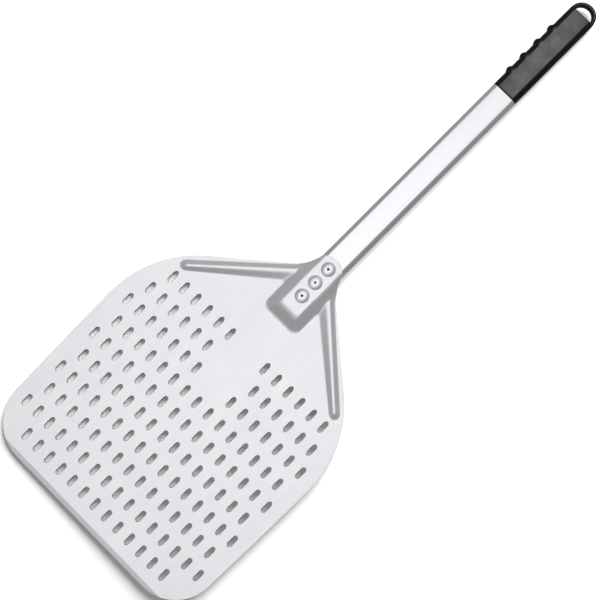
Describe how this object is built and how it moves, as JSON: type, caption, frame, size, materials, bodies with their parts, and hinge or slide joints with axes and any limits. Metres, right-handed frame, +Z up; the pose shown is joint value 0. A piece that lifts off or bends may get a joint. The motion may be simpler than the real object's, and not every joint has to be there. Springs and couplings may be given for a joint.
{
  "type": "pizza peel",
  "caption": "Perforated aluminium pizza peel: pressed blade with boss and stiffening beads, riveted over a flat tube handle, with a moulded grip and hanging loop.",
  "frame": {"origin": "centre of the footprint (to 1 mm), on the plane of the grip's and tube's underside", "axes": "+Y from the blade's front edge to the grip's hanging loop, +X to the right seen from above, +Z up out of the blade's food side"},
  "size_m": [0.305, 0.7875, 0.0214],
  "materials": {
    "blade_aluminium": "satin anodised",
    "tube_aluminium": "satin extruded, natural anodised",
    "rivet_aluminium": "bright, as formed",
    "mandrel_steel": "broken steel stub",
    "grip_plastic": "fine moulded texture"
  },
  "bodies": {
    "root": {"blade": "blade_aluminium", "handle_tube": "tube_aluminium", "grip": "grip_plastic", "rivet_1": "rivet_aluminium", "rivet_2": "rivet_aluminium", "rivet_3": "rivet_aluminium", "rivet_mandrel_1": "mandrel_steel", "rivet_mandrel_2": "mandrel_steel", "rivet_mandrel_3": "mandrel_steel"}
  },
  "joints": []
}
